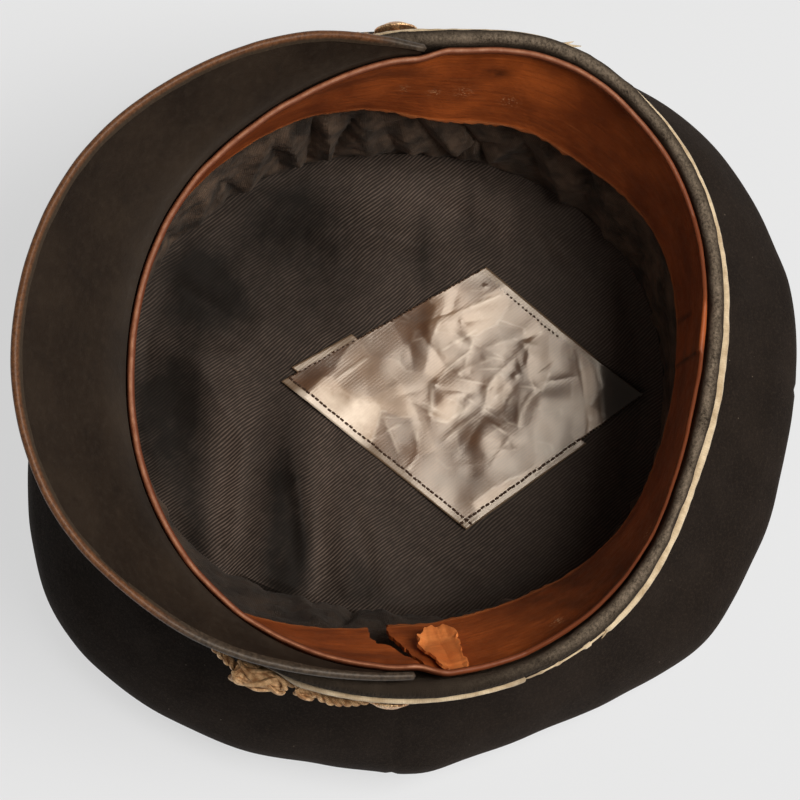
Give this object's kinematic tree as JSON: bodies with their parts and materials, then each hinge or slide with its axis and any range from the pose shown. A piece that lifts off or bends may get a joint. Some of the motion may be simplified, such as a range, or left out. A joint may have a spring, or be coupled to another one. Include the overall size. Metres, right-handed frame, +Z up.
{
  "type": "crusher cap",
  "caption": "Soft peaked officer's cap without a crown wire, lying upside down: wide cloth crown, velvet band, visor, leather sweatband, lining, sweat shield and chin cord.",
  "frame": {"origin": "middle of the cap's outline, on the surface that its crown lies on", "axes": "+Z up, out of the head opening; the visor points to -Y, the wearer's right is +X"},
  "size_m": [0.2455, 0.2582, 0.1434],
  "materials": {
    "crown_wool": "matte milled wool",
    "band_velvet": "worn velvet",
    "piping_cloth": "matte wool piping, soiled",
    "sweatband_leather": "satin, worn",
    "lining_side_cloth": "satin cotton",
    "lining_top_twill": "satin twill",
    "shield_celluloid": "glossy, crumpled",
    "visor_fibre": "semi-matte pressed fibre",
    "visor_binding_leather": "worn edge",
    "bullion_cord": "tarnished metal thread",
    "button_metal": "tarnished, worn to copper"
  },
  "bodies": {
    "root": {"crown_top": "crown_wool", "crown_side": "crown_wool", "crown_piping": "piping_cloth", "cap_band": "band_velvet", "band_piping_upper": "piping_cloth", "band_piping_lower": "piping_cloth", "sweatband": "sweatband_leather", "sweatband_flap": "sweatband_leather", "lining_side": "lining_side_cloth", "lining_top": "lining_top_twill", "sweat_shield": "shield_celluloid", "visor": "visor_fibre", "visor_binding": "visor_binding_leather", "chin_cord": "bullion_cord", "cord_knot_large_right": "bullion_cord", "cord_knot_small_right": "bullion_cord", "cord_knot_large_left": "bullion_cord", "cord_knot_small_left": "bullion_cord", "side_button_right": "button_metal", "side_button_left": "button_metal"}
  },
  "joints": []
}
